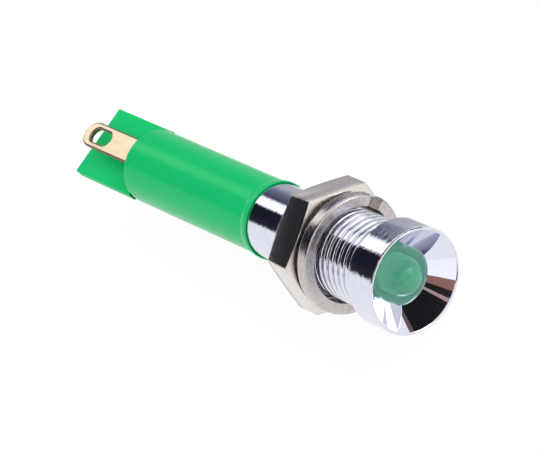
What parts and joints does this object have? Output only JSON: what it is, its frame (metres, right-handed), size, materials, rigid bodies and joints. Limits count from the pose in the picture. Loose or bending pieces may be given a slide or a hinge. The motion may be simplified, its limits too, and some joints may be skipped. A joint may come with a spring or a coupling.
{
  "type": "panel pilot light",
  "caption": "Small green panel pilot light: domed lamp in a chromed recessed bezel, threaded barrel with hex nut and split washer, and a green housing with two solder tabs.",
  "frame": {"origin": "centre of the panel seat, the flat back face of the head that rests on the panel, on the lamp's axis", "axes": "+Y along the lamp's axis from the panel seat towards the solder tabs, so the lamp faces -Y; +Z square to the flat faces of the tabs; +X across the tabs"},
  "size_m": [0.0112, 0.0462, 0.0118],
  "materials": {
    "chromed_brass": "polished",
    "lamp_green": "diffused, glossy",
    "tinned_steel": "tinned",
    "black_plastic": "moulded",
    "clear_plastic": "clear film",
    "tinned_copper": "tinned",
    "resistor_coat": "lacquered",
    "gold_plated_brass": "gold plated",
    "green_plastic": "semi-gloss moulding",
    "nickel_plated_brass": "nickel plated",
    "spring_steel": "zinc plated"
  },
  "bodies": {
    "lamp": {"bezel_barrel": "chromed_brass", "lamp_lens": "lamp_green", "lamp_anode_lead": "tinned_steel", "lamp_cathode_lead": "tinned_steel", "lamp_holder": "black_plastic", "insulating_sleeve": "clear_plastic", "diode_body": "black_plastic", "diode_leads": "tinned_copper", "resistor_body": "resistor_coat", "resistor_leads": "tinned_copper", "upper_tab": "gold_plated_brass", "lower_tab": "gold_plated_brass", "rear_housing": "green_plastic"},
    "washer": {"spring_washer": "spring_steel"},
    "nut": {"hex_nut": "nickel_plated_brass"}
  },
  "joints": [
    {"name": "nut_travel", "type": "slide", "parent": "lamp", "child": "washer", "axis": [0, 1, 0], "range_m": [-0.0047, 0.0048]},
    {"name": "nut_spin", "type": "hinge", "parent": "washer", "child": "nut", "pos_m": [0, 0.00808, 0], "axis": [0, 1, 0], "range_deg": [-2256, 2304]}
  ],
  "couplings": [
    {"joint": "nut_spin", "follows": "nut_travel", "rad_per_m": 8377.6}
  ]
}
